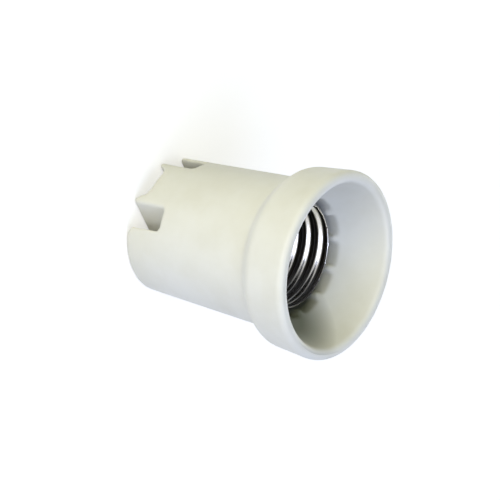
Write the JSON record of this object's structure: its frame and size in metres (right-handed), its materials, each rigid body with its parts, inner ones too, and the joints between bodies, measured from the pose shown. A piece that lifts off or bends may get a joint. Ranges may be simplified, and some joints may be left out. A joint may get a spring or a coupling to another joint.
{
  "type": "porcelain lamp socket",
  "caption": "Glazed porcelain lamp holder with a flared collar, a rolled screw shell in a conical bowl, a sprung centre contact, and clamp screw terminals in open rear channels.",
  "frame": {"origin": "centre of the rear seat plane, on the lamp axis", "axes": "+Z along the lamp axis towards the mouth; the two wire channels of the rear end run along Y, with the neutral terminal at +X"},
  "size_m": [0.0462, 0.0462, 0.052],
  "materials": {
    "porcelain": "satin ivory glaze",
    "plated_shell": "bright nickel plate",
    "brass": "plain sheet brass",
    "zinc_steel": "zinc plated steel"
  },
  "bodies": {
    "holder": {"porcelain_body": "porcelain", "screw_shell": "plated_shell", "centre_contact": "brass", "neutral_terminal": "brass", "line_terminal": "brass", "shell_rivet_1": "brass", "shell_rivet_2": "brass", "contact_rivet_1": "brass", "contact_rivet_2": "brass"},
    "contact": {"contact_stud": "brass"},
    "neutral_clamp": {"neutral_clamp_washer": "zinc_steel", "neutral_lock_washer": "zinc_steel"},
    "neutral_screw": {"neutral_clamp_screw": "zinc_steel"},
    "line_clamp": {"line_clamp_washer": "zinc_steel", "line_lock_washer": "zinc_steel"},
    "line_screw": {"line_clamp_screw": "zinc_steel"}
  },
  "joints": [
    {"name": "contact_press", "type": "slide", "parent": "holder", "child": "contact", "axis": [0, 0, -1], "range_m": [0, 0.002], "stiffness_N_per_m": 2000, "deforming": ["centre_contact"]},
    {"name": "neutral_clamp_travel", "type": "slide", "parent": "holder", "child": "neutral_clamp", "axis": [0, 0, -1], "range_m": [0, 0.002]},
    {"name": "neutral_screw_turn", "type": "hinge", "parent": "neutral_clamp", "child": "neutral_screw", "pos_m": [0.00945, 0, 0.0073], "axis": [0, 0, -1], "range_deg": [0, 1440]},
    {"name": "line_clamp_travel", "type": "slide", "parent": "holder", "child": "line_clamp", "axis": [0, 0, -1], "range_m": [0, 0.002]},
    {"name": "line_screw_turn", "type": "hinge", "parent": "line_clamp", "child": "line_screw", "pos_m": [-0.00945, 0, 0.0073], "axis": [0, 0, -1], "range_deg": [0, 1440]}
  ],
  "couplings": [
    {"joint": "neutral_screw_turn", "follows": "neutral_clamp_travel", "rad_per_m": 12566},
    {"joint": "line_screw_turn", "follows": "line_clamp_travel", "rad_per_m": 12566}
  ]
}
